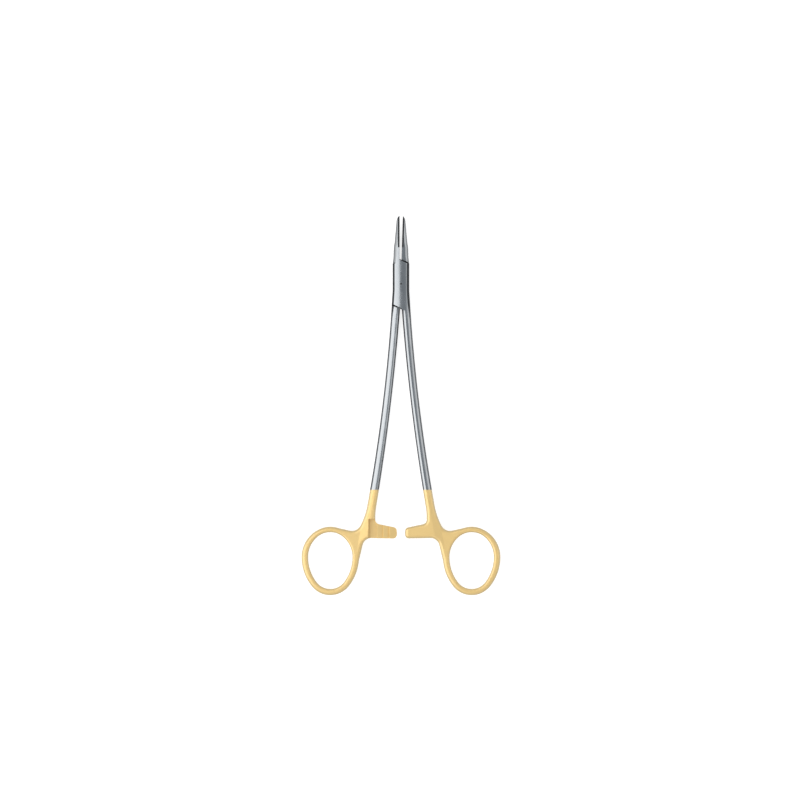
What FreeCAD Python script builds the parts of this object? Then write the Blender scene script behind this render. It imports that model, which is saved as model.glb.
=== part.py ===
import FreeCAD, Part
import os
import re
import Sketcher

# Surgical needle holder with a box lock, drawn lying flat with the jaws a little open.
# The origin is on the pivot's axis at the underside of the box lock. +Y points to the jaw tips,
# +X is to the right with the instrument seen from above, +Z is up through its thickness.
# The box half runs from the left jaw through the box to the right ring, and the tongue half from
# the right jaw through the box's slot to the left ring. Lengths are millimetres, angles degrees.

SIZES = {
    # jaws
    "tip_reach": 32.8,
    "closing_angle": 2.75,
    "jaw_face_offset": 0.66,
    "heel_relief": 0.96,
    "nose_width": 2.1,
    "nose_length": 3.0,
    "nose_radius": 4.0,
    "nose_flat": 0.3,
    "jaw_step_width": 2.96,
    "jaw_step_length": 2.8,
    "jaw_heel_width": 3.38,
    "jaw_neck_width": 3.55,
    "jaw_neck_reach": 12.8,
    "jaw_root_step": 0.06,
    "jaw_tip_thickness": 2.4,
    "insert_length": 15.5,
    "insert_thickness": 0.8,
    # box lock
    "box_half_width": 3.95,
    "box_thickness": 5.6,
    "box_flat_reach": 11.0,
    "box_flare_start": 3.0,
    "wall_thickness": 1.55,
    "wall_end_slope": 0.476,
    "wall_end_above": 11.45,
    "wall_end_below": 11.85,
    "tongue_reach": 9.45,
    "tongue_side_step": 0.1,
    "cheek_clearance": 0.05,
    "slot_end_clearance": 0.2,
    "shoulder_clearance": 0.06,
    # pivot pin
    "pin_radius": 1.2,
    "pin_clearance": 0.03,
    "pin_head_radius": 1.6,
    "pin_head_depth": 0.5,
    "pin_dimple_radius": 0.3,
    "pin_dimple_depth": 0.25,
    # shanks
    "shank_root_gap": 0.42,
    "shank_outer_radius": 834.0,
    "shank_inner_radius": 1024.0,
    "shank_thickness": 4.4,
    "neck_start": 11.5,
    "neck_length": 18.0,
    "taper_start": 58.0,
    "handle_thickness": 3.7,
    # finger rings
    "ring_out": 33.5,
    "ring_down": 129.4,
    "hole_half_width": 10.5,
    "hole_above": 11.75,
    "hole_below": 15.15,
    "hole_top_radius": 9.4,
    "hole_bottom_radius": 8.2,
    "band_side": 3.15,
    "band_top": 2.65,
    "band_bottom": 3.0,
    # joins of shank, ring and ratchet arm, measured from the ring's centre
    "flare_in": 16.53,
    "flare_up": 19.0,
    "valley_in": 12.6,
    "valley_up": 11.8,
    "elbow_in": 21.35,
    "elbow_up": 21.2,
    "armpit_up": 15.9,
    "heel_in": 16.15,
    "heel_up": 9.0,
    "web_top_angle": 20.0,
    "web_bottom_angle": 5.0,
    # roundings seen from above
    "flare_radius": 34.0,
    "valley_radius": 4.5,
    "elbow_radius": 30.0,
    "armpit_radius": 2.2,
    "heel_radius": 4.2,
    "web_radius": 15.0,
    "edge_round": 1.5,
    "hole_edge_round": 1.1,
    "box_edge_round": 1.2,
    # ratchet arms
    "arm_tip_gap": 2.3,
    "arm_top_up": 13.9,
    "arm_bottom_up": 8.7,
    "arm_tip_radius": 8.0,
    "arm_corner_radius": 1.75,
    "arm_clearance": 0.05,
    "arm_root": 15.4,
    "tooth_count": 3,
    "tooth_first": 5.6,
    "tooth_pitch": 2.9,
    "tooth_land": 0.35,
    "tooth_depth": 0.6,
}

# which side of the instrument a shape is on, for use in expressions
LEFT = "-1"
RIGHT = "1"
# a distance in mm that takes a cutting outline clear of the part
FAR = 40

doc = FreeCAD.newDocument("needle_holder")
sheet = doc.addObject("Spreadsheet::Sheet", "sizes")
for row, (name, size) in enumerate(SIZES.items(), start=1):
    sheet.set(f"A{row}", name)
    sheet.set(f"B{row}", str(size))
    sheet.setAlias(f"B{row}", name)
doc.recompute()


def bound(text):
    """The expression with every size's name led to its cell in the sheet."""
    return re.sub(r"[a-z]\w*", lambda word: f"sizes.{word[0]}" if word[0] in SIZES else word[0], text)


def value(text):
    return float(sheet.evalExpression(bound(text)))


def point(x, y):
    return FreeCAD.Vector(value(x), value(y), 0)


class Outline:
    """A closed outline of lines and arcs in a sketch, each corner held to expressions in x and y."""

    def __init__(self, sketch, x, y):
        self.sketch = sketch
        self.start = (x, y)
        self.here = point(x, y)
        self.first = None
        self.last = None

    def line(self, x, y):
        end = point(x, y)
        index = self.sketch.addGeometry(Part.LineSegment(self.here, end))
        self.join(index, 1, 2, x, y, end)

    def arc(self, x, y, radius):
        """An arc to x, y. It turns left where its radius is positive, and right where it is negative."""
        end = point(x, y)
        signed = value(radius)
        chord = end - self.here
        across = FreeCAD.Vector(-chord.y, chord.x, 0).normalize()
        rise = (signed**2 - (chord.Length / 2)**2)**0.5
        middle = self.here + chord / 2 + across * (rise if signed > 0 else -rise)
        begin, finish = (self.here, end) if signed > 0 else (end, self.here)
        circle = Part.Circle(middle, FreeCAD.Vector(0, 0, 1), abs(signed))
        index = self.sketch.addGeometry(
            Part.ArcOfCircle(circle, circle.parameter(begin), circle.parameter(finish)))
        size = self.sketch.addConstraint(Sketcher.Constraint("Radius", index, abs(signed)))
        self.sketch.setExpression(f"Constraints[{size}]", bound(f"abs({radius})"))
        near, far = (1, 2) if signed > 0 else (2, 1)
        self.join(index, near, far, x, y, end)

    def join(self, index, near, far, x, y, end):
        """Ties a new edge to the one before it, and its far end to its place or to the outline's start."""
        if self.last is None:
            self.first = (index, near)
            self.hold(index, near, *self.start)
        else:
            self.sketch.addConstraint(Sketcher.Constraint("Coincident", *self.last, index, near))
        self.last = (index, far)
        self.here = end
        if (x, y) == self.start:
            self.sketch.addConstraint(Sketcher.Constraint("Coincident", index, far, *self.first))
        else:
            self.hold(index, far, x, y)

    def hold(self, index, end, x, y):
        for kind, text in (("DistanceX", x), ("DistanceY", y)):
            place = self.sketch.addConstraint(
                Sketcher.Constraint(kind, -1, 1, index, end, value(text)))
            self.sketch.setExpression(f"Constraints[{place}]", bound(text))

    def close(self):
        self.line(*self.start)


def new_sketch(body, plane, name):
    """A sketch on one of the body's own origin planes."""
    sketch = body.newObject("Sketcher::SketchObject", name)
    support = next(item for item in body.Origin.OriginFeatures if item.Role == plane)
    sketch.AttachmentSupport = [(support, "")]
    sketch.MapMode = "FlatFace"
    return sketch


def pad(body, sketch, name, thickness):
    """Thickens a sketch equally to both sides of its plane."""
    feature = body.newObject("PartDesign::Pad", name)
    feature.Profile = sketch
    feature.SideType = "Symmetric"
    feature.setExpression("Length", bound(thickness))
    doc.recompute()
    return feature


def pocket(body, sketch, name, depth=None, way=0):
    """Cuts a sketch through the body both ways, or only upwards (1) or downwards (-1) from its plane,
    or both ways to a stated depth in all."""
    before = body.Shape.Volume
    feature = body.newObject("PartDesign::Pocket", name)
    feature.Profile = sketch
    feature.SideType = "One side" if way else "Symmetric"
    feature.Reversed = way == 1
    if depth is None:
        feature.Type = "ThroughAll"
    else:
        feature.setExpression("Length", bound(depth))
    doc.recompute()
    assert body.Shape.Volume < before, f"{name} cuts nothing"
    return feature


def revolve(body, kind, sketch, name):
    """Turns a sketch once about its own vertical axis."""
    feature = body.newObject(f"PartDesign::{kind}", name)
    feature.Profile = sketch
    feature.ReferenceAxis = (sketch, ["V_Axis"])
    feature.Angle = 360
    doc.recompute()
    return feature


def edge_at(shape, place):
    """The name of the edge that passes nearest to a place."""
    target = Part.Vertex(place)
    gaps = [edge.distToShape(target)[0] for edge in shape.Edges]
    return f"Edge{gaps.index(min(gaps)) + 1}"


def fillet(body, name, places, radius):
    """Rounds the edges that pass through the places, and what runs on smoothly from them."""
    base = body.Tip
    feature = body.newObject("PartDesign::Fillet", name)
    feature.Base = (base, sorted({edge_at(base.Shape, place) for place in places}))
    feature.setExpression("Radius", bound(radius))
    doc.recompute()
    return feature


def wall_end(x, reach, way=1):
    """The height at x of the slanting end of the box's walls, above the pivot or, with -1, below."""
    return f"({way} * {reach} - wall_end_slope * ({x}))"


def from_ring(side, inwards, up):
    """A place on the handle of one side, measured from the ring's centre."""
    return f"{side} * (ring_out - {inwards})", f"{up} - ring_down"


def ring_side_radius(band, hole_reach, end_radius):
    """The radius of the ring's side arc that runs smoothly into its end arc."""
    wide, tall = f"(hole_half_width + {band[0]})", f"({hole_reach} + {band[1]})"
    tip = f"({end_radius} + {band[1]})"
    return f"(({wide}^2 + {tall}^2 - 2 * {tall} * {tip}) / (2 * ({wide} - {tip})))"


def egg(sketch, side, bands):
    """The ring's egg shape: a wide top and a longer bottom, each of an end arc and two side arcs."""
    side_band, top_band, bottom_band = bands
    wide = f"(hole_half_width + {side_band})"
    middle = f"{side} * ring_out"
    right = (f"{middle} + {wide}", "-ring_down")
    left = (f"{middle} - {wide}", "-ring_down")
    shape = Outline(sketch, *right)
    for way, reach, end_radius, band, goal in (
            (1, "hole_above", "hole_top_radius", top_band, left),
            (-1, "hole_below", "hole_bottom_radius", bottom_band, right)):
        tall, tip = f"({reach} + {band})", f"({end_radius} + {band})"
        flank = ring_side_radius((side_band, band), reach, end_radius)
        along = f"({tip} * ({flank} - {wide}) / ({flank} - {tip}))"
        up = f"({tall} - {tip} + {tip} * ({tall} - {tip}) / ({flank} - {tip}))"
        shape.arc(f"{middle} + {way} * {along}", f"{way} * {up} - ring_down", flank)
        shape.arc(f"{middle} - {way} * {along}", f"{way} * {up} - ring_down", tip)
        shape.arc(*goal, flank)


def ring_top_join(side):
    """Where the web's upper edge meets the ring, on the ring's top arc."""
    radius = "(hole_top_radius + band_top)"
    return (f"{side} * (ring_out - {radius} * sin(web_top_angle * 1 deg))",
            f"hole_above - hole_top_radius + {radius} * cos(web_top_angle * 1 deg) - ring_down")


def ring_bottom_join(side):
    """Where the web's lower edge meets the ring, on its inner side just below the middle."""
    flank = ring_side_radius(("band_side", "band_bottom"), "hole_below", "hole_bottom_radius")
    return (f"{side} * (ring_out - hole_half_width - band_side"
            f" + {flank} * (1 - cos(web_bottom_angle * 1 deg)))",
            f"-{flank} * sin(web_bottom_angle * 1 deg) - ring_down")


def arm_tip(side, up):
    return f"{side} * arm_tip_gap", f"{up} - ring_down"


def handle_outline(shape, side):
    """Draws a shank, the web to its ring and its ratchet arm, from the box's side to the shanks' fork."""
    outwards = "" if side == RIGHT else "-"
    inwards = "-" if side == RIGHT else ""
    shape.arc(*from_ring(side, "flare_in", "flare_up"), f"{outwards}shank_outer_radius")
    shape.line(*from_ring(side, "valley_in", "valley_up"))
    shape.line(*ring_top_join(side))
    shape.line(f"{side} * ring_out", "-ring_down")
    shape.line(*ring_bottom_join(side))
    shape.line(*from_ring(side, "heel_in", "heel_up"))
    shape.line(*arm_tip(side, "arm_bottom_up"))
    shape.arc(*arm_tip(side, "arm_top_up"), f"{inwards}arm_tip_radius")
    shape.line(*from_ring(side, "elbow_in", "armpit_up"))
    shape.line(*from_ring(side, "elbow_in", "elbow_up"))
    shape.arc(f"{side} * shank_root_gap", wall_end(f"{side} * shank_root_gap", "wall_end_below", -1),
              f"{inwards}shank_inner_radius")


def handle_roundings(side):
    """The handle's corners seen from above, each with its radius."""
    return {
        "flare": (from_ring(side, "flare_in", "flare_up"), "flare_radius"),
        "valley": (from_ring(side, "valley_in", "valley_up"), "valley_radius"),
        "web_top": (ring_top_join(side), "web_radius"),
        "web_bottom": (ring_bottom_join(side), "web_radius"),
        "heel": (from_ring(side, "heel_in", "heel_up"), "heel_radius"),
        "arm_bottom": (arm_tip(side, "arm_bottom_up"), "arm_corner_radius"),
        "arm_top": (arm_tip(side, "arm_top_up"), "arm_corner_radius"),
        "armpit": (from_ring(side, "elbow_in", "armpit_up"), "armpit_radius"),
        "elbow": (from_ring(side, "elbow_in", "elbow_up"), "elbow_radius"),
    }


def add_handle(body, side):
    """Adds the ring to a half whose lever is drawn, and rounds the corners seen from above."""
    rim = new_sketch(body, "XY_Plane", "ring_rim")
    egg(rim, side, ("band_side", "band_top", "band_bottom"))
    pad(body, rim, "ring", "box_thickness")
    hole = new_sketch(body, "XY_Plane", "ring_hole")
    egg(hole, side, ("0", "0", "0"))
    pocket(body, hole, "finger_hole")
    for name, (place, radius) in handle_roundings(side).items():
        fillet(body, f"{name}_rounding", [point(*place)], radius)


def add_jaw(body, side):
    """Adds a jaw as a full round of the closed pair's outline. Its face is cut later."""
    sketch = new_sketch(body, "XY_Plane", "jaw_profile")
    root = wall_end("box_half_width", "wall_end_above")
    shape = Outline(sketch, "0", root)
    shape.line(f"{side} * (box_half_width - jaw_root_step)", root)
    shape.line(f"{side} * jaw_neck_width", "jaw_neck_reach")
    shape.line(f"{side} * jaw_heel_width", "tip_reach - insert_length")
    shape.line(f"{side} * jaw_step_width", "tip_reach - insert_length + jaw_step_length")
    shape.line(f"{side} * nose_width", "tip_reach - nose_length")
    shape.arc(f"{side} * nose_flat", "tip_reach", "nose_radius" if side == RIGHT else "-nose_radius")
    shape.line("0", "tip_reach")
    shape.close()
    revolve(body, "Revolution", sketch, "jaw")


def thickness_profile(body, way):
    """Cuts the half's top, or with -1 its underside, to the side view: the jaw falls in one long arc
    from the box to the tip, and the shank falls in two soft steps to the handle's thickness."""
    sketch = new_sketch(body, "YZ_Plane", "side_view_top" if way == 1 else "side_view_underside")
    turn = "" if way == 1 else "-"
    back = "-" if way == 1 else ""
    top = f"{way} * box_thickness / 2"
    fall = "((box_thickness - jaw_tip_thickness) / 2)"
    run = "(tip_reach - box_flat_reach)"
    shape = Outline(sketch, "tip_reach", f"{way} * jaw_tip_thickness / 2")
    shape.arc("box_flat_reach", top, f"{turn}(({run}^2 + {fall}^2) / (2 * {fall}))")
    shape.line("-neck_start", top)
    soft_step(shape, way, "neck_start", "neck_start + neck_length", "box_thickness", "shank_thickness")
    shape.line("-taper_start", f"{way} * shank_thickness / 2")
    soft_step(shape, way, "taper_start", "(ring_down - elbow_up)", "shank_thickness",
              "handle_thickness")
    shape.line(f"-ring_down - {FAR}", f"{way} * handle_thickness / 2")
    shape.line(f"-ring_down - {FAR}", f"{way} * {FAR}")
    shape.line(f"tip_reach + {FAR}", f"{way} * {FAR}")
    shape.line(f"tip_reach + {FAR}", f"{way} * jaw_tip_thickness / 2")
    shape.close()
    return pocket(body, sketch, f"{sketch.Name}_cut")


def soft_step(shape, way, begin, end, thick, thin):
    """Two equal arcs, one out and one in, that lead a profile from one thickness to a smaller one."""
    run, fall = f"(({end} - {begin}) / 2)", f"(({thick} - {thin}) / 4)"
    radius = f"(({run}^2 + {fall}^2) / (2 * {fall}))"
    outwards, inwards = ("", "-") if way == 1 else ("-", "")
    shape.arc(f"-({begin} + {end}) / 2", f"{way} * ({thick} + {thin}) / 4", f"{outwards}{radius}")
    shape.arc(f"-({end})", f"{way} * {thin} / 2", f"{inwards}{radius}")


def both_faces(x, y, thickness):
    """The two places over and under a place seen from above, on a stretch of this thickness."""
    return [point(x, y) + FreeCAD.Vector(0, 0, way * value(thickness) / 2) for way in (1, -1)]


def round_long_edges(body, side):
    """Rounds the forging's long edges, over and under: those that run the whole way round the handle
    from the box to the fork of the shanks, and the finger hole's."""
    hole_side = f"{side} * (ring_out + hole_half_width)"
    rim = both_faces(f"{hole_side} + {side} * band_side", "-ring_down", "handle_thickness")
    hole = both_faces(hole_side, "-ring_down", "handle_thickness")
    fillet(body, "handle_edges", rim, "edge_round")
    fillet(body, "finger_hole_edges", hole, "hole_edge_round")


def cut_ratchet(body, side, way):
    """Cuts a ratchet arm to half thickness and gives it saw teeth. The arm of the box half lies above
    the middle plane (way 1) with its teeth underneath, the other below it (way -1) with them on top."""
    sketch = new_sketch(body, "XZ_Plane", "ratchet_profile")
    sketch.setExpression("AttachmentOffset.Base.z", bound("ring_down - (armpit_up + arm_bottom_up) / 2"))
    crest = f"{way} * arm_clearance"
    root = f"{way} * (arm_clearance + tooth_depth)"
    shape = Outline(sketch, f"{side} * arm_root", f"{-way * FAR}")
    shape.line(f"{side} * arm_root", root)
    shape.line(f"{side} * (tooth_first + (tooth_count - 1) * tooth_pitch)", root)
    for tooth in reversed(range(int(value("tooth_count")))):
        shape.line(f"{side} * (tooth_first + {tooth} * tooth_pitch)", crest)
        shape.line(f"{side} * (tooth_first + {tooth} * tooth_pitch - tooth_land)", crest)
        foot = f"tooth_first + {tooth - 1} * tooth_pitch" if tooth else "arm_tip_gap"
        shape.line(f"{side} * ({foot})", root)
    shape.line(f"-{side} * arm_root", root)
    shape.line(f"-{side} * arm_root", f"{-way * FAR}")
    shape.close()
    return pocket(body, sketch, "ratchet_cut", "armpit_up - arm_bottom_up + 2 * armpit_radius")


def pin_outline(sketch, dimple):
    """The riveted pin's half section: a shaft with a flared head in each wall and a centre mark."""
    half = "box_thickness / 2"
    shape = Outline(sketch, "0", f"{half} - {dimple}")
    shape.line("pin_dimple_radius", half)
    shape.line("pin_head_radius", half)
    shape.line("pin_radius", f"{half} - pin_head_depth")
    shape.line("pin_radius", f"pin_head_depth - {half}")
    shape.line("pin_head_radius", f"-{half}")
    shape.line("pin_dimple_radius", f"-{half}")
    shape.line("0", f"{dimple} - {half}")
    shape.close()


def box_face(y):
    """The gripping face of the box half's jaw, in line with the instrument at every height y."""
    return "-jaw_face_offset"


def tongue_face(y):
    """The gripping face of the tongue half's jaw at height y: at the tip it meets the other face when
    the jaws close, and towards the heel it stands back by the relief angle."""
    tip = "(tip_reach * sin(closing_angle * 1 deg) - jaw_face_offset * cos(closing_angle * 1 deg))"
    return f"({tip} - (tip_reach - ({y})) * tan((closing_angle - heel_relief) * 1 deg))"


def make_box_half():
    """The half with the box: left jaw, the box's two walls and the slot between them, right handle."""
    body = doc.addObject("PartDesign::Body", "box_forging")
    outline = new_sketch(body, "XY_Plane", "lever_outline")
    shape = Outline(outline, "-box_half_width", wall_end("box_half_width", "wall_end_above"))
    shape.line("-jaw_face_offset", wall_end("box_half_width", "wall_end_above"))
    shape.line("-jaw_face_offset", wall_end("-jaw_face_offset", "wall_end_above"))
    shape.line("box_half_width", wall_end("box_half_width", "wall_end_above"))
    shape.line("box_half_width", "-box_flare_start")
    handle_outline(shape, RIGHT)
    flare = "(box_half_width + shank_root_gap)"
    shape.line(f"-{flare}", wall_end(f"-{flare}", "wall_end_below", -1))
    shape.line("-box_half_width", "-box_flare_start")
    shape.close()
    pad(body, outline, "lever", "box_thickness")
    add_handle(body, RIGHT)
    add_jaw(body, LEFT)

    face = new_sketch(body, "XY_Plane", "jaw_face")
    shape = Outline(face, "-jaw_face_offset", f"tip_reach + {FAR}")
    shape.line("-jaw_face_offset", wall_end("-jaw_face_offset", "wall_end_above"))
    shape.line("2 * box_half_width", wall_end("2 * box_half_width", "wall_end_above"))
    shape.line("2 * box_half_width", f"tip_reach + {FAR}")
    shape.close()
    pocket(body, face, "jaw_face_cut")
    for way in (1, -1):
        thickness_profile(body, way)
    round_long_edges(body, RIGHT)
    box_edges = both_faces("-box_half_width", "0", "box_thickness")
    fillet(body, "box_edges", box_edges, "box_edge_round")

    slot = new_sketch(body, "XY_Plane", "slot_outline")
    reach = "(tongue_reach + slot_end_clearance)"
    beyond = "(2 * box_half_width)"
    shape = Outline(slot, "-jaw_face_offset", f"2 * {reach}")
    shape.line("-jaw_face_offset", f"sqrt({reach}^2 - jaw_face_offset^2)")
    shape.arc(f"-{beyond}", f"sqrt({reach}^2 - {beyond}^2)", reach)
    shape.line(f"-{beyond}", f"-2 * {reach}")
    shape.line("shank_root_gap", f"-2 * {reach}")
    shape.line("shank_root_gap", f"-sqrt({reach}^2 - shank_root_gap^2)")
    shape.arc(beyond, f"-sqrt({reach}^2 - {beyond}^2)", reach)
    shape.line(beyond, f"2 * {reach}")
    shape.close()
    pocket(body, slot, "slot", "box_thickness - 2 * wall_thickness")

    seat = new_sketch(body, "XZ_Plane", "pin_seat_section")
    pin_outline(seat, "0")
    revolve(body, "Groove", seat, "pin_seat")
    cut_ratchet(body, RIGHT, 1)
    return body


def make_tongue_half():
    """The half with the tongue: right jaw, the thin tongue that fills the box's slot, left handle."""
    body = doc.addObject("PartDesign::Body", "tongue_forging")
    outline = new_sketch(body, "XY_Plane", "lever_outline")
    side = "(box_half_width - tongue_side_step)"
    root = wall_end("box_half_width", "wall_end_above")
    shape = Outline(outline, "box_half_width", root)
    shape.line(f"-{side}", root)
    shape.line(f"-{side}", "-box_flare_start")
    shape.line("-box_half_width", "-box_flare_start")
    handle_outline(shape, LEFT)
    shape.line("-shank_root_gap", "-tongue_reach")
    shape.line(side, "-tongue_reach")
    shape.line(side, f"{root} - box_flare_start")
    shape.close()
    pad(body, outline, "lever", "box_thickness")
    add_handle(body, LEFT)
    add_jaw(body, RIGHT)

    face = new_sketch(body, "XY_Plane", "jaw_face")
    crotch = "wall_end_above"
    beyond = "(2 * box_half_width)"
    end = tongue_face(crotch)
    shape = Outline(face, tongue_face(f"tip_reach + {FAR}"), f"tip_reach + {FAR}")
    shape.line(end, crotch)
    shape.line(end, f"sqrt(tongue_reach^2 - {end}^2)")
    shape.arc(f"-{beyond}", f"sqrt(tongue_reach^2 - {beyond}^2)", "tongue_reach")
    shape.line(f"-{beyond}", f"tip_reach + {FAR}")
    shape.close()
    pocket(body, face, "jaw_face_cut")
    foot = new_sketch(body, "XY_Plane", "tongue_foot")
    shape = Outline(foot, "-shank_root_gap", "-2 * tongue_reach")
    shape.line("-shank_root_gap", "-sqrt(tongue_reach^2 - shank_root_gap^2)")
    shape.arc(beyond, f"-sqrt(tongue_reach^2 - {beyond}^2)", "tongue_reach")
    shape.line(beyond, "-2 * tongue_reach")
    shape.close()
    pocket(body, foot, "tongue_foot_cut")
    for way in (1, -1):
        thickness_profile(body, way)
    for way in (1, -1):
        cut_cheek(body, way)
    round_long_edges(body, LEFT)
    bore = new_sketch(body, "XY_Plane", "pivot_bore")
    index = bore.addGeometry(Part.Circle(FreeCAD.Vector(), FreeCAD.Vector(0, 0, 1), value("pin_radius")))
    bore.addConstraint(Sketcher.Constraint("Coincident", index, 3, -1, 1))
    size = bore.addConstraint(Sketcher.Constraint("Radius", index, value("pin_radius")))
    bore.setExpression(f"Constraints[{size}]", bound("pin_radius + pin_clearance"))
    pocket(body, bore, "pivot_bore_cut")
    cut_ratchet(body, LEFT, -1)
    return body


def cut_cheek(body, way):
    """Thins the half to its tongue between two shoulders, from above or, with -1, from below. The
    shoulders stand where the ends of the box's walls come to lie when the jaws close."""
    sketch = new_sketch(body, "XY_Plane", "upper_cheek" if way == 1 else "lower_cheek")
    sketch.setExpression("AttachmentOffset.Base.z",
                         bound(f"{way} * (box_thickness / 2 - wall_thickness - cheek_clearance)"))
    sketch.setExpression("AttachmentOffset.Rotation.Angle", bound("-closing_angle"))
    gap = "shoulder_clearance * sqrt(1 + wall_end_slope^2)"
    beyond = "2 * box_half_width"
    shape = Outline(sketch, beyond, f"{wall_end(beyond, 'wall_end_above')} + {gap}")
    shape.line(f"-{beyond}", f"{wall_end(f'-{beyond}', 'wall_end_above')} + {gap}")
    shape.line(f"-{beyond}", f"{wall_end(f'-{beyond}', 'wall_end_below', -1)} - {gap}")
    shape.line(beyond, f"{wall_end(beyond, 'wall_end_below', -1)} - {gap}")
    shape.close()
    pocket(body, sketch, f"{sketch.Name}_cut", way=way)


def make_insert_block(name, face):
    """A bar along a jaw's gripping face, from the insert's heel to beyond the tip. Where it meets the
    jaw is the carbide insert, and the rest of the jaw keeps a seat of the same shape."""
    body = doc.addObject("PartDesign::Body", name)
    sketch = new_sketch(body, "XY_Plane", f"{name}_outline")
    heel = "tip_reach - insert_length"
    tip = "tip_reach + insert_thickness"
    side = LEFT if face == box_face else RIGHT
    shape = Outline(sketch, face(heel), heel)
    shape.line(f"{face(heel)} + {side} * insert_thickness", heel)
    shape.line(f"{face(tip)} + {side} * insert_thickness", tip)
    shape.line(face(tip), tip)
    shape.close()
    pad(body, sketch, f"{name}_pad", "box_thickness")
    return body


def make_pin():
    """The pivot pin, riveted flush in both walls, with a small centre mark on each head."""
    body = doc.addObject("PartDesign::Body", "pivot_pin")
    section = new_sketch(body, "XZ_Plane", "pin_section")
    pin_outline(section, "pin_dimple_depth")
    revolve(body, "Revolution", section, "pin")
    return body


def combine(kind, name, base, tool):
    """A sub-part made of a forging and an insert block: Cut leaves the seat, Common the insert."""
    result = doc.addObject(f"Part::{kind}", name)
    result.Base = base
    result.Tool = tool
    return result


box_forging = make_box_half()
tongue_forging = make_tongue_half()
box_block = make_insert_block("box_insert_block", box_face)
tongue_block = make_insert_block("tongue_insert_block", tongue_face)
sub_parts = [
    combine("Cut", "box_half", box_forging, box_block),
    combine("Cut", "tongue_half", tongue_forging, tongue_block),
    combine("Common", "box_jaw_insert", box_forging, box_block),
    combine("Common", "tongue_jaw_insert", tongue_forging, tongue_block),
    make_pin(),
]
for sub_part in sub_parts:
    sub_part.setExpression("Placement.Base.z", bound("box_thickness / 2"))
doc.recompute()

for item in doc.Objects:
    assert not {"Invalid", "Error"} & set(item.State), f"{item.Name} did not build"
os.makedirs("parts", exist_ok=True)
for sub_part in sub_parts:
    solid = sub_part.Shape
    assert not solid.isNull() and solid.isValid(), f"{sub_part.Label} is not a valid solid"
    solid.exportStep(f"parts/{sub_part.Label}.step")
    print(f"{sub_part.Label}: {solid.Volume:.1f} mm3, {len(solid.Solids)} solid")
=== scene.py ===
# %% [markdown]
# A surgical needle holder with a box lock, dark carbide jaw inserts and gold-plated finger rings.
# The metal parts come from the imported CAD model, which already has the real shapes. This script
# gives them their finishes, lights them like a studio photograph and looks straight down at them.
# Every length is in metres, and the origin is on the pivot's axis at the underside of the box.

# %% Load the frame
import math

import bpy
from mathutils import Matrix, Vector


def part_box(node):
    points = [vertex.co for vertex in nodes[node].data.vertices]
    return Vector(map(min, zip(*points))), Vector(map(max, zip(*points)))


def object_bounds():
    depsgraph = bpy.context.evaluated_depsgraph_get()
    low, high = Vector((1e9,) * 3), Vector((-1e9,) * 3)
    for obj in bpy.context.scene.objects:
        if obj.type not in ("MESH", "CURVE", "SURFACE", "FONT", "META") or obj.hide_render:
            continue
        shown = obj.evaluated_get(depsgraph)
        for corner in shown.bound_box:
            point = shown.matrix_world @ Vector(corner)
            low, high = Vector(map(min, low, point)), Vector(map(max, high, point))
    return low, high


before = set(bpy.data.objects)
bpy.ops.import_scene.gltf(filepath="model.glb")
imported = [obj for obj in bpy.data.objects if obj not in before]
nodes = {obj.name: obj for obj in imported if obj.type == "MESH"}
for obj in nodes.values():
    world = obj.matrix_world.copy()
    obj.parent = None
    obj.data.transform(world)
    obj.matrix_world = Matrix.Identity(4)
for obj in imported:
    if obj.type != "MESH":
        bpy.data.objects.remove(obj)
cad_low, cad_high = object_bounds()
scene = bpy.context.scene
MM = 0.001
print("pieces from the CAD model:", ", ".join(sorted(nodes)))

# %% [markdown]
# Before any finish is made, a few places are read from the frame, so that the finishes follow the
# model if its sizes change. The middle of the thickness is where the camera's scale holds, and the
# plating starts at a stated distance above the rings' lowest point.

# %% Places that the finishes use
box_low, box_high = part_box("box_half")
box_thickness = box_high.z - box_low.z
middle_z = (box_low.z + box_high.z) / 2
PLATING_HEIGHT = 50.0 * MM
plating_y = box_low.y + PLATING_HEIGHT
print(f"box lock {box_thickness / MM:.1f} mm thick, gold below y = {plating_y / MM:.1f} mm")

# %% [markdown]
# Each shared effect is a node group: a small recipe of nodes with named inputs and outputs that any
# material can use. This helper makes an empty group with its sockets. A group only works out masks
# and heights. The shader itself stays in each material, where it is easy to find.


# %% An empty node group
def new_group(name, inputs, outputs):
    """An empty shader node group. inputs maps a name to its plain value, outputs lists names."""
    group = bpy.data.node_groups.new(name, "ShaderNodeTree")
    kind = "NodeSocketFloat"
    for title, default in inputs.items():
        socket = group.interface.new_socket(name=title, in_out="INPUT", socket_type=kind)
        socket.default_value = default
    for title in outputs:
        group.interface.new_socket(name=title, in_out="OUTPUT", socket_type=kind)
    return group, group.nodes.new("NodeGroupInput"), group.nodes.new("NodeGroupOutput")


# %% [markdown]
# Almost every mask here is made of two kinds of node: Math, which combines two numbers, and Map
# Range, which turns a stretch of one number into a stretch of another. These helpers add one such
# node and link it, so that a recipe reads as a line of sums. They serve groups and materials alike.


# %% Nodes that calculate
def add(tree, kind, **values):
    """Adds one node and sets its properties by name."""
    node = tree.nodes.new(kind)
    for key, setting in values.items():
        setattr(node, key, setting)
    return node


def math_node(tree, operation, first, second=None, clamp=False):
    """A Math node. Each input is a number or another node's output."""
    node = add(tree, "ShaderNodeMath", operation=operation, use_clamp=clamp)
    for socket, source in zip(node.inputs, (first, second)):
        if source is None:
            continue
        if isinstance(source, (int, float)):
            socket.default_value = source
        else:
            tree.links.new(source, socket)
    return node.outputs[0]


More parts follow.
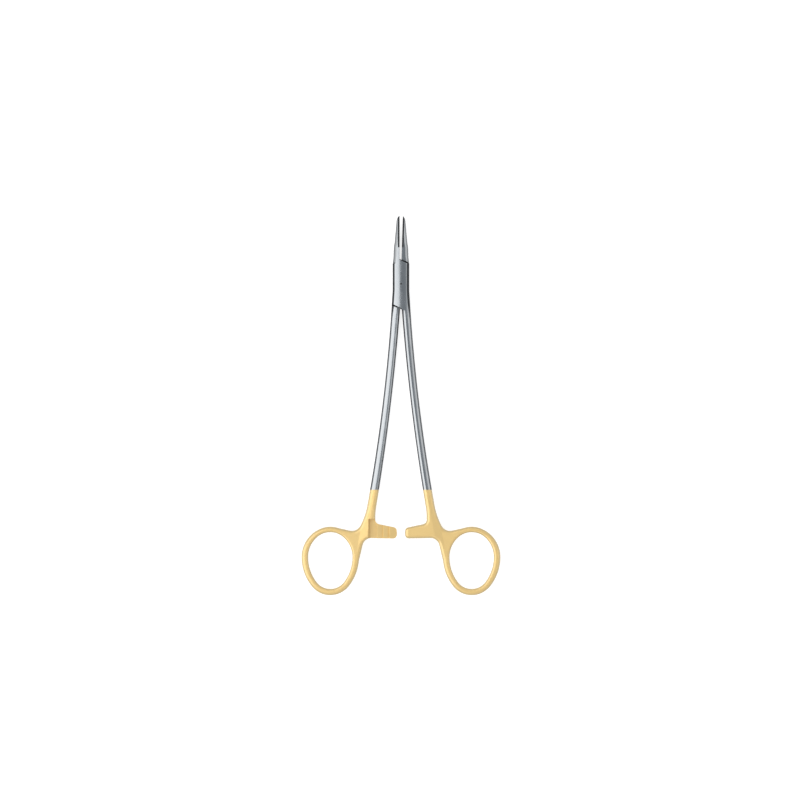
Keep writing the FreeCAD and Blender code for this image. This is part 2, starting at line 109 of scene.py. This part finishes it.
def ramp(tree, source, start, end, low=0.0, high=1.0, smooth=True):
    """A Map Range node that goes from low to high while the source goes from start to end."""
    kind = "SMOOTHSTEP" if smooth else "LINEAR"
    node = add(tree, "ShaderNodeMapRange", interpolation_type=kind)
    tree.links.new(source, node.inputs["Value"])
    ends = {"From Min": start, "From Max": end, "To Min": low, "To Max": high}
    for title, number in ends.items():
        if isinstance(number, (int, float)):
            node.inputs[title].default_value = number
        else:
            tree.links.new(number, node.inputs[title])
    return node.outputs[0]


def mix_numbers(tree, factor, first, second):
    """A number between two others."""
    return ramp(tree, factor, 0.0, 1.0, first, second, smooth=False)


def object_place(tree):
    """A point's place on its own piece, whole and as its X, Y and Z."""
    place = add(tree, "ShaderNodeTexCoord").outputs["Object"]
    parts = add(tree, "ShaderNodeSeparateXYZ")
    tree.links.new(place, parts.inputs[0])
    return place, [parts.outputs[axis] for axis in "XYZ"]


# %% [markdown]
# The rounded shoulders between the faces and the side walls are painted darker than the faces: this
# is painted shade, which makes the edges come out dark from above. The mask is worked out from the
# surface's own normal: 0 on a face that points up or down, 1 on a shoulder, 0 again on a side wall.
# A painted map would do the same, but it would have to be redone whenever the model changes, and
# the normal is known everywhere. The mask doesn't depend on where the camera stands.

# %% The shoulder mask, for painted shade
# the upward part of the normal where the dark starts and where it is full, below a face
FACE_END = {"Start": 0.85, "End": 0.6}
# and where it is gone and where it is full, above a side wall
WALL_NORMAL = (0.10, 0.28)


def make_shoulder_shade_group():
    group, entry, exit_node = new_group("shoulder_shade_mask", FACE_END, ["Mask"])
    geometry = add(group, "ShaderNodeNewGeometry")
    parts = add(group, "ShaderNodeSeparateXYZ")
    group.links.new(geometry.outputs["Normal"], parts.inputs[0])
    upright = math_node(group, "ABSOLUTE", parts.outputs["Z"])
    below_face = ramp(group, upright, entry.outputs["Start"], entry.outputs["End"])
    above_wall = ramp(group, upright, *WALL_NORMAL)
    mask = math_node(group, "MULTIPLY", below_face, above_wall)
    group.links.new(mask, exit_node.inputs["Mask"])
    return group


shoulder_shade_group = make_shoulder_shade_group()
print("group", shoulder_shade_group.name, "made")

# %% [markdown]
# The instrument is polished in zones: the jaws, the box lock, the shanks and the handles each get
# their own wheel. A zone is a stretch of the length, so one group turns a point's Y into a share of
# each zone, with a soft change between neighbours. The shanks are what the other zones leave.

# %% Where the zones meet
# each pair says where a zone's share starts and where it is full, or the other way round
JAW_START_Y = (9.4 * MM, 10.4 * MM)
LOCK_END_Y = (-9.0 * MM, -18.0 * MM)
HANDLE_START_Y = (-119.0 * MM, -127.0 * MM)


# %% The polishing zones
def make_zone_group():
    group, _, exit_node = new_group("polishing_zones", {}, ["Jaw", "Lock", "Handle"])
    _, (_, y, _) = object_place(group)
    jaw = ramp(group, y, *JAW_START_Y)
    lock = ramp(group, y, *reversed(LOCK_END_Y))
    handle = ramp(group, y, *HANDLE_START_Y)
    for title, share in (("Jaw", jaw), ("Lock", lock), ("Handle", handle)):
        group.links.new(share, exit_node.inputs[title])
    return group


zone_group = make_zone_group()
print("group", zone_group.name, "made")

# %% [markdown]
# Hand polishing also leaves the faces slightly domed: the box lock is crowned across its width, and
# each shank has two facets that meet at a soft ridge, the inner one level and the outer one
# sloping. The drop is 0.7 mm at most, so it is given as a height map that only leans the shading
# normals, and the outline stays the CAD model's own. The ridge follows the shank, a gentle bow
# whose distance from the middle is worked out from the distance below the pivot. The side of the
# ridge that a point is on is put out as well, because the shanks' outer shoulders get a darker
# painted shade than the inner ones.

# %% Sizes of the polisher's crown
LOCK_CROWN_RADIUS = 13.0 * MM
SHANK_SLOPE = 0.10
SHANK_RIDGE = 0.10
RIDGE_ROUNDING = 0.2 * MM
BOW_START = 1.5 * MM
BOW_LEAN = 0.0567
BOW_BEND = 0.557
INNER_REACH = 2.0 * MM
OUTER_REACH = 3.5 * MM
OUTER_SIDE = (-0.6 * MM, 0.6 * MM)
CROWN_INPUTS = {"Lock": 0.0, "Handle": 0.0, "Lock Radius": LOCK_CROWN_RADIUS,
                "Slope": SHANK_SLOPE, "Ridge": SHANK_RIDGE}


# %% The polisher's crown
def distance_from_ridge(tree, x, y):
    """How far outside the shank's ridge a point is. It is below zero on the inner side."""
    across = math_node(tree, "ABSOLUTE", x)
    down = math_node(tree, "MULTIPLY", y, -1.0)
    bend = math_node(tree, "MULTIPLY", math_node(tree, "MULTIPLY", down, down), BOW_BEND)
    lean = math_node(tree, "ADD", math_node(tree, "MULTIPLY", down, BOW_LEAN), BOW_START)
    return math_node(tree, "SUBTRACT", across, math_node(tree, "ADD", bend, lean))


def shank_drop(tree, offset, slope, ridge):
    """How far the two facets have dropped: a roof with a rounded ridge, on a slope."""
    offset = math_node(tree, "MINIMUM", offset, OUTER_REACH)
    offset = math_node(tree, "MAXIMUM", offset, -INNER_REACH)
    sloped = math_node(tree, "MULTIPLY", offset, slope)
    square = math_node(tree, "MULTIPLY", offset, offset)
    square = math_node(tree, "ADD", square, RIDGE_ROUNDING**2)
    roof = math_node(tree, "MULTIPLY", math_node(tree, "SQRT", square), ridge)
    return math_node(tree, "ADD", sloped, roof)


def lock_drop(tree, x, radius):
    """How far a dome of this radius has dropped at a distance from its top."""
    square = math_node(tree, "MULTIPLY", x, x)
    return math_node(tree, "DIVIDE", square, math_node(tree, "MULTIPLY", radius, 2.0))


def make_crown_group():
    group, entry, exit_node = new_group("polishers_crown", CROWN_INPUTS, ["Height", "Outer"])
    _, (x, y, _) = object_place(group)
    offset = distance_from_ridge(group, x, y)
    group.links.new(ramp(group, offset, *OUTER_SIDE), exit_node.inputs["Outer"])
    shank = shank_drop(group, offset, entry.outputs["Slope"], entry.outputs["Ridge"])
    shank = mix_numbers(group, entry.outputs["Handle"], shank, 0.0)
    lock = lock_drop(group, x, entry.outputs["Lock Radius"])
    drop = mix_numbers(group, entry.outputs["Lock"], shank, lock)
    group.links.new(math_node(group, "MULTIPLY", drop, -1.0), exit_node.inputs["Height"])
    return group


crown_group = make_crown_group()
print("group", crown_group.name, "made")

# %% [markdown]
# The two halves meet at slanting lines, where the box's walls end. A fine dark line is painted
# along each of them as painted shade, for the shade that falls into the joint. The mask is the
# distance to each line, cut off where the line ends and below the wall. The pin's centre mark is
# painted dark as shade in the same way. The gap itself is in the CAD model, and it is far too
# narrow to look dark from this distance.

# %% Places of the crevices
LINE_SLOPE = 0.476
LINE_ABOVE = 11.45 * MM
LINE_BELOW = -11.85 * MM
ABOVE_FROM_X = -0.66 * MM
BELOW_TO_X = 0.42 * MM
END_SOFTNESS = 0.15 * MM
WALL_DEPTH = 1.55 * MM
DEPTH_SOFTNESS = 0.1 * MM
LINE_WIDTH = 0.34 * MM
MARK_RADIUS = 0.32 * MM
# the dark fades in between these shares of the line's width
LINE_FADE = (1.3, 0.7)
# and between this share of the mark's radius and the radius itself
MARK_FADE = 1.6
CREVICE_INPUTS = {"Line Width": LINE_WIDTH, "Mark Radius": MARK_RADIUS, "Middle Z": 0.0}


# %% The crevice mask, for painted shade
def line_mask(tree, x, level, line, end, way, fade):
    """Near one slanting line, and on the side of its end where the box's wall is."""
    distance = math_node(tree, "ABSOLUTE", math_node(tree, "SUBTRACT", level, line))
    distance = math_node(tree, "MULTIPLY", distance, 1 / math.sqrt(1 + LINE_SLOPE**2))
    near = ramp(tree, distance, *fade)
    inside = ramp(tree, x, end - way * END_SOFTNESS, end + way * END_SOFTNESS)
    return math_node(tree, "MULTIPLY", near, inside)


def make_crevice_shade_group():
    group, entry, exit_node = new_group("crevices", CREVICE_INPUTS, ["Mask"])
    _, (x, y, z) = object_place(group)
    fade = [math_node(group, "MULTIPLY", entry.outputs["Line Width"], share) for share in LINE_FADE]
    level = math_node(group, "ADD", y, math_node(group, "MULTIPLY", x, LINE_SLOPE))
    above = line_mask(group, x, level, LINE_ABOVE, ABOVE_FROM_X, 1, fade)
    below = line_mask(group, x, level, LINE_BELOW, BELOW_TO_X, -1, fade)
    off_middle = math_node(group, "SUBTRACT", z, entry.outputs["Middle Z"])
    off_middle = math_node(group, "ABSOLUTE", off_middle)
    wall_start = box_thickness / 2 - WALL_DEPTH
    on_wall = ramp(group, off_middle, wall_start - DEPTH_SOFTNESS, wall_start + DEPTH_SOFTNESS)
    joint = math_node(group, "MULTIPLY", math_node(group, "ADD", above, below), on_wall)
    squares = [math_node(group, "MULTIPLY", axis, axis) for axis in (x, y)]
    from_pin = math_node(group, "SQRT", math_node(group, "ADD", *squares))
    mark_edge = math_node(group, "MULTIPLY", entry.outputs["Mark Radius"], MARK_FADE)
    mark = ramp(group, from_pin, mark_edge, entry.outputs["Mark Radius"])
    mask = math_node(group, "MAXIMUM", joint, mark, clamp=True)
    group.links.new(mask, exit_node.inputs["Mask"])
    return group


crevice_shade_group = make_crevice_shade_group()
print("group", crevice_shade_group.name, "made")

# %% [markdown]
# A satin finish is thousands of fine scratches that run along the instrument. Noise stretched far
# along Y looks like that: each grain is a hair wide and many times as long. A second, larger noise
# makes the faint cloudiness that hand finishing leaves.

# %% Sizes of the satin grain
GRAINS_PER_MM = 9.0
GRAIN_STRETCH = 14.0
GRAIN_DETAIL = 2.0
CLOUD_SCALE = 260.0
CLOUD_DETAIL = 3.0
# the range that nearly all of a noise lies in
NOISE_RANGE = (0.3, 0.7)
GRAIN_INPUTS = {"Grains per mm": GRAINS_PER_MM, "Stretch": GRAIN_STRETCH}


# %% The satin grain
def noise(tree, place, scale, **settings):
    """A Noise Texture's strength at a place. Settings such as Detail are named as on the node."""
    node = add(tree, "ShaderNodeTexNoise")
    node.inputs["Scale"].default_value = scale
    for title, setting in settings.items():
        node.inputs[title].default_value = setting
    tree.links.new(place, node.inputs["Vector"])
    return node.outputs["Fac"]


def make_grain_group():
    group, entry, exit_node = new_group("satin_grain", GRAIN_INPUTS, ["Grain", "Cloud"])
    place, (x, y, z) = object_place(group)
    per_metre = math_node(group, "MULTIPLY", entry.outputs["Grains per mm"], 1.0 / MM)
    along = math_node(group, "DIVIDE", per_metre, entry.outputs["Stretch"])
    stretched = add(group, "ShaderNodeCombineXYZ")
    for title, axis, scale in (("X", x, per_metre), ("Y", y, along), ("Z", z, per_metre)):
        scaled = math_node(group, "MULTIPLY", axis, scale)
        group.links.new(scaled, stretched.inputs[title])
    grain = noise(group, stretched.outputs[0], 1.0, Detail=GRAIN_DETAIL)
    cloud = noise(group, place, CLOUD_SCALE, Detail=CLOUD_DETAIL)
    group.links.new(grain, exit_node.inputs["Grain"])
    group.links.new(cloud, exit_node.inputs["Cloud"])
    return group


grain_group = make_grain_group()
print("group", grain_group.name, "made")

# %% [markdown]
# The rings and the lower shanks are dipped in a gold bath up to one line across both shanks. The
# mask is 1 below that line. Its edge is soft over a quarter of a millimetre, and a little noise
# keeps it from being ruler-straight, as a liquid's edge is.

# %% The plating mask
PLATING_SOFTNESS = 0.12 * MM
RIPPLE_SCALE = 900.0
RIPPLE_HEIGHT = 0.08 * MM
PLATING_INPUTS = {"Line Y": 0.0, "Softness": PLATING_SOFTNESS}


def make_plating_group():
    group, entry, exit_node = new_group("gold_plating", PLATING_INPUTS, ["Mask"])
    place, (_, y, _) = object_place(group)
    ripple = noise(group, place, RIPPLE_SCALE)
    shift = ramp(group, ripple, *NOISE_RANGE, -RIPPLE_HEIGHT, RIPPLE_HEIGHT, smooth=False)
    height = math_node(group, "ADD", y, shift)
    top = math_node(group, "ADD", entry.outputs["Line Y"], entry.outputs["Softness"])
    bottom = math_node(group, "SUBTRACT", entry.outputs["Line Y"], entry.outputs["Softness"])
    group.links.new(ramp(group, height, top, bottom), exit_node.inputs["Mask"])
    return group


plating_group = make_plating_group()
print("group", plating_group.name, "made")

# %% [markdown]
# A material starts from one Principled shader, which covers steel, gold and carbide alike. The
# groups are placed beside it and linked to its sockets. Where two finishes meet, their colours are
# mixed by a mask, and a bump leans the normals by a height.


# %% Helpers that every material uses
def new_material(name):
    """A material with only a Principled shader and its output."""
    material = bpy.data.materials.new(name)
    material.use_nodes = True
    tree = material.node_tree
    return material, tree, tree.nodes["Principled BSDF"]


def place_group(tree, group, **values):
    """Places a node group in a material with its own values. In a name, _ stands for a space."""
    node = add(tree, "ShaderNodeGroup", node_tree=group)
    for key, number in values.items():
        node.inputs[key.replace("_", " ")].default_value = number
    return node


def mix_colours(tree, factor, first, second):
    """A colour between two others. Each is a colour or another node's output."""
    node = add(tree, "ShaderNodeMix", data_type="RGBA")
    tree.links.new(factor, node.inputs["Factor"])
    colour_inputs = [socket for socket in node.inputs if socket.type == "RGBA"]
    for socket, source in zip(colour_inputs, (first, second)):
        if isinstance(source, tuple):
            socket.default_value = (*source, 1.0)
        else:
            tree.links.new(source, socket)
    return next(socket for socket in node.outputs if socket.type == "RGBA")


def bump(tree, height, strength, distance, normal=None):
    """The normal leaned by a height, which distance turns into metres."""
    node = add(tree, "ShaderNodeBump")
    node.inputs["Strength"].default_value = strength
    node.inputs["Distance"].default_value = distance
    tree.links.new(height, node.inputs["Height"])
    if normal is not None:
        tree.links.new(normal, node.inputs["Normal"])
    return node.outputs["Normal"]


# %% [markdown]
# The forgings are one material, because the steel and the gold are one surface with the plating's
# line between them. Metal gets its colour from what it reflects, so the base colours are plain
# apart from painted shade on the shoulders and in the crevices, and the lamps do the rest. The gold
# is softer in its shine than the steel: it is partly diffuse under a thin clear coat, which keeps
# it pale and warm under any lamp.

# %% Colours and sheen of the forgings
STEEL_FACE = (0.375, 0.39, 0.402)
# painted shade: the shoulders' colours below are darker than the faces' to stand for the shade at
# the edges
STEEL_SHOULDER_SHADE = (0.095, 0.1, 0.106)
LOCK_STEEL_SHOULDER_SHADE = (0.035, 0.037, 0.04)
INNER_STEEL_SHOULDER_SHADE = (0.12, 0.126, 0.133)
EDGE_TINT = (0.65, 0.65, 0.65, 1.0)
STEEL_ROUGHNESS = (0.17, 0.23)
GOLD_FACE = (0.82, 0.572, 0.214)
# painted shade: the gold's shoulder colour is darker than its face for the same reason
GOLD_SHOULDER_SHADE = (0.59, 0.44, 0.19)
GOLD_ROUGHNESS = (0.34, 0.42)
GOLD_METALLIC = 0.3
GOLD_COAT = 0.6
COAT_IOR = 1.8
COAT_ROUGHNESS = 0.25
# painted shade along the joint lines and in the pin's centre mark
CREVICE_SHADE = (0.005, 0.005, 0.006)
CREVICE_ROUGHNESS = 0.7
GRAIN_STRENGTH = 0.09
GRAIN_DEPTH = 0.01 * MM
# where a shoulder's dark starts and where it is full, as the upward part of the normal
JAW_SHOULDER_NORMAL = (0.72, 0.30)
LOCK_SHOULDER_NORMAL = (0.998, 0.965)
SHANK_SHOULDER_NORMAL = (0.935, 0.76)
GOLD_SHOULDER_NORMAL = (0.92, 0.76)


# %% The forgings' colour
def find_shoulder_shade(tree, zones, gold):
    """The mask of the shoulders' painted shade, with each zone's own start and end of the dark."""
    shoulder = place_group(tree, shoulder_shade_group)
    levels = zip(("Start", "End"), JAW_SHOULDER_NORMAL, LOCK_SHOULDER_NORMAL,
                 SHANK_SHOULDER_NORMAL, GOLD_SHOULDER_NORMAL)
    for title, in_jaw, in_lock, in_shank, in_gold in levels:
        level = mix_numbers(tree, gold, in_shank, in_gold)
        level = mix_numbers(tree, zones.outputs["Lock"], level, in_lock)
        level = mix_numbers(tree, zones.outputs["Jaw"], level, in_jaw)
        tree.links.new(level, shoulder.inputs[title])
    return shoulder.outputs["Mask"]


def forging_colour(tree, zones, outer, gold, dark):
    """Steel above the plating's line and gold below it, with painted shade on their shoulders and
    crevices.
    """
    shoulder = find_shoulder_shade(tree, zones, gold)
    edge = mix_colours(tree, zones.outputs["Lock"], STEEL_SHOULDER_SHADE, LOCK_STEEL_SHOULDER_SHADE)
    edge = mix_colours(tree, outer, INNER_STEEL_SHOULDER_SHADE, edge)
    edge = mix_colours(tree, zones.outputs["Jaw"], edge, STEEL_SHOULDER_SHADE)
    steel = mix_colours(tree, shoulder, STEEL_FACE, edge)
    plated = mix_colours(tree, shoulder, GOLD_FACE, GOLD_SHOULDER_SHADE)
    colour = mix_colours(tree, gold, steel, plated)
    return mix_colours(tree, dark, colour, CREVICE_SHADE)


# %% The forgings' steel and gold
def make_forging_material():
    material, tree, shader = new_material("steel_and_gold")
    zones = place_group(tree, zone_group)
    plating = place_group(tree, plating_group, Line_Y=plating_y, Softness=PLATING_SOFTNESS)
    crown = place_group(tree, crown_group)
    for title in ("Lock", "Handle"):
        tree.links.new(zones.outputs[title], crown.inputs[title])
    grain = place_group(
        tree, grain_group, Grains_per_mm=GRAINS_PER_MM, Stretch=GRAIN_STRETCH)
    crevice = place_group(tree, crevice_shade_group, Middle_Z=middle_z)
    gold = plating.outputs["Mask"]
    dark = crevice.outputs["Mask"]
    cloud = grain.outputs["Cloud"]

    colour = forging_colour(tree, zones, crown.outputs["Outer"], gold, dark)
    steel_rough = ramp(tree, cloud, *NOISE_RANGE, *STEEL_ROUGHNESS)
    gold_rough = ramp(tree, cloud, *NOISE_RANGE, *GOLD_ROUGHNESS)
    rough = mix_numbers(tree, gold, steel_rough, gold_rough)
    rough = mix_numbers(tree, dark, rough, CREVICE_ROUGHNESS)
    metal = mix_numbers(tree, gold, 1.0, GOLD_METALLIC)
    coat = math_node(tree, "MULTIPLY", gold, GOLD_COAT)
    normal = bump(tree, crown.outputs["Height"], 1.0, 1.0)
    normal = bump(tree, grain.outputs["Grain"], GRAIN_STRENGTH, GRAIN_DEPTH, normal)
    sockets = {"Base Color": colour, "Roughness": rough, "Metallic": metal,
               "Coat Weight": coat, "Normal": normal}
    for title, source in sockets.items():
        tree.links.new(source, shader.inputs[title])
    shader.inputs["Specular Tint"].default_value = EDGE_TINT
    shader.inputs["Coat IOR"].default_value = COAT_IOR
    shader.inputs["Coat Roughness"].default_value = COAT_ROUGHNESS
    return material


forging_material = make_forging_material()
print("material", forging_material.name, "made")

# %% [markdown]
# The inserts are carbide, brazed into the jaws. Carbide is dark and dull, and its gripping face is
# cut with two sets of fine slanting grooves that cross, which hold the needle from turning. The
# grooves are less than a tenth of a millimetre deep, so they are two sine waves in a bump, and the
# lower of the two waves at each point gives the pyramids that crossed grooves leave. The groove
# floors are also painted darker than the ridge tops, as painted shade.

# %% Colours and grooves of the carbide
# painted shade: the groove floors get the darker colour below and the ridge tops the lighter one
CARBIDE = (0.018, 0.019, 0.021)
CARBIDE_RIDGE = (0.042, 0.044, 0.047)
CARBIDE_METALLIC = 0.7
CARBIDE_ROUGHNESS = 0.45
GROOVES_PER_METRE = 2500.0
# the wave's height where a groove's floor ends and where a ridge's flat top starts
RIDGE_LEVELS = (-0.9, 0.3)
GROOVE_STRENGTH = 0.6
GROOVE_DEPTH = 0.08 * MM


# %% The inserts' carbide
def make_carbide_material():
    material, tree, shader = new_material("jaw_carbide")
    _, (_, y, z) = object_place(tree)
    waves = []
    for way in ("ADD", "SUBTRACT"):
        slant = math_node(tree, way, y, z)
        turns = math_node(tree, "MULTIPLY", slant, GROOVES_PER_METRE * 2 * math.pi / math.sqrt(2))
        waves.append(math_node(tree, "SINE", turns))
    ridge = ramp(tree, math_node(tree, "MINIMUM", *waves), *RIDGE_LEVELS)
    colour = mix_colours(tree, ridge, CARBIDE, CARBIDE_RIDGE)
    normal = bump(tree, ridge, GROOVE_STRENGTH, GROOVE_DEPTH)
    tree.links.new(colour, shader.inputs["Base Color"])
    tree.links.new(normal, shader.inputs["Normal"])
    shader.inputs["Metallic"].default_value = CARBIDE_METALLIC
    shader.inputs["Roughness"].default_value = CARBIDE_ROUGHNESS
    return material


carbide_material = make_carbide_material()
print("material", carbide_material.name, "made")

# %% [markdown]
# Each CAD piece keeps its mesh and only gets its finish. The pin is turned from the same steel as
# the forgings and polished flush with the box, so it shares their material.

# %% Give each piece its finish
FINISHES = {
    "box_half": forging_material,
    "tongue_half": forging_material,
    "pivot_pin": forging_material,
    "box_jaw_insert": carbide_material,
    "tongue_jaw_insert": carbide_material,
}
for name, finish in FINISHES.items():
    nodes[name].data.materials.clear()
    nodes[name].data.materials.append(finish)
print("dressed:", {name: node.data.materials[0].name for name, node in nodes.items()})

# %% [markdown]
# The photograph is taken from straight above with a long lens, so the instrument shows no
# perspective. The camera stands 2.1 m up, and its lens makes the frame as wide as the photograph's.

# %% The camera
FRAME_WIDTH = 379.2 * MM
FRAME_MIDDLE = (-0.45 * MM, -55.0 * MM)
LENS = 200.0
SENSOR = 36.0
camera_data = bpy.data.cameras.new("camera")
camera_data.lens = LENS
camera_data.sensor_width = SENSOR
camera = bpy.data.objects.new("camera", camera_data)
camera.location = (*FRAME_MIDDLE, middle_z + FRAME_WIDTH * LENS / SENSOR)
scene.collection.objects.link(camera)
scene.camera = camera
print(f"camera {camera.location.z:.3f} m above the floor")

# %% [markdown]
# Polished metal shows the room, so the lamps are also what makes its bright and dark bands. A large
# soft box on the left gives the bright band on every slope that faces left, and a weak, narrow one
# on the right gives a thin second light. Area lamps point along their own -Z.


# %% The lamps
def add_soft_box(name, place, width, height, radiance):
    """An area lamp that points at the middle of the instrument. A white sheet of this radiance."""
    data = bpy.data.lights.new(name, "AREA")
    data.shape = "RECTANGLE"
    data.size, data.size_y = width, height
    data.energy = radiance * math.pi * width * height
    lamp = bpy.data.objects.new(name, data)
    scene.collection.objects.link(lamp)
    lamp.location = place
    aim = -lamp.location
    aim.y += (cad_low.y + cad_high.y) / 2
    lamp.rotation_euler = aim.to_track_quat("-Z", "Y").to_euler()
    print(name, "is", width, "by", height, "m")


add_soft_box("left_soft_box", place=(-0.64, -0.06, 0.64), width=1.0, height=1.5, radiance=1.4)
add_soft_box("right_soft_box", place=(0.85, -0.06, 0.45), width=0.35, height=1.5, radiance=0.6)

# %% [markdown]
# The world is the rest of the studio: pale walls and a dimmer, cooler ceiling, which the
# instrument's level faces reflect. The ceiling is darkest a little to the right, so that slopes
# that face left are the brighter ones, as in the photograph. How close a direction is to that dark
# place is the dot product of the two, which is the cosine of the angle between them.

# %% The world
WALL_LIGHT = (0.78, 0.78, 0.78)
CEILING_LIGHT = (0.365, 0.395, 0.425)
CEILING_TILT = math.radians(10.0)
# the dot product where the walls end, and where the ceiling is fully dark
CEILING_EDGE = (0.74, 0.97)
world = bpy.data.worlds.new("studio")
scene.world = world
world.use_nodes = True
sky = world.node_tree
direction = add(sky, "ShaderNodeTexCoord")
closeness = add(sky, "ShaderNodeVectorMath", operation="DOT_PRODUCT")
closeness.inputs[1].default_value = (math.sin(CEILING_TILT), 0.0, math.cos(CEILING_TILT))
sky.links.new(direction.outputs["Generated"], closeness.inputs[0])
overhead = ramp(sky, closeness.outputs["Value"], *CEILING_EDGE)
light = mix_colours(sky, overhead, WALL_LIGHT, CEILING_LIGHT)
sky.links.new(light, sky.nodes["Background"].inputs["Color"])
print("world", world.name, "made")

# %% [markdown]
# The floor is white. It glows for the camera and for reflections, so that it comes out white as in
# the photograph, and still takes the instrument's faint shadow, because the rest of it is plain
# paint. It can be seen through from below, so that the underside can be looked at too.

# %% The floor
FLOOR_SIZE = 8.0
FLOOR_DROP = 0.02 * MM
FLOOR_PAINT = (0.5, 0.5, 0.5, 1.0)
FLOOR_GLOW = 0.78


def make_floor_material():
    material, tree, shader = new_material("floor_paint")
    shader.inputs["Base Color"].default_value = FLOOR_PAINT
    shader.inputs["Roughness"].default_value = 1.0
    shader.inputs["Specular IOR Level"].default_value = 0.0
    shader.inputs["Emission Color"].default_value = (1.0, 1.0, 1.0, 1.0)
    path = add(tree, "ShaderNodeLightPath")
    seen = math_node(tree, "ADD", path.outputs["Is Camera Ray"], path.outputs["Is Glossy Ray"])
    seen = math_node(tree, "ADD", seen, path.outputs["Is Transmission Ray"], clamp=True)
    glow = math_node(tree, "MULTIPLY", seen, FLOOR_GLOW)
    tree.links.new(glow, shader.inputs["Emission Strength"])
    geometry = add(tree, "ShaderNodeNewGeometry")
    from_above = math_node(tree, "SUBTRACT", 1.0, geometry.outputs["Backfacing"])
    tree.links.new(from_above, shader.inputs["Alpha"])
    return material


floor_mesh = bpy.data.meshes.new("floor")
half = FLOOR_SIZE / 2
corners = [(-half, -half, 0), (half, -half, 0), (half, half, 0), (-half, half, 0)]
floor_mesh.from_pydata(corners, [], [(0, 1, 2, 3)])
floor_mesh.materials.append(make_floor_material())
floor = bpy.data.objects.new("floor", floor_mesh)
floor.location.z = cad_low.z - FLOOR_DROP
scene.collection.objects.link(floor)
print("floor", FLOOR_SIZE, "m across")

# %% [markdown]
# The plain Standard view keeps colours as they are written.

# %% Finish
scene.view_settings.view_transform = "Standard"
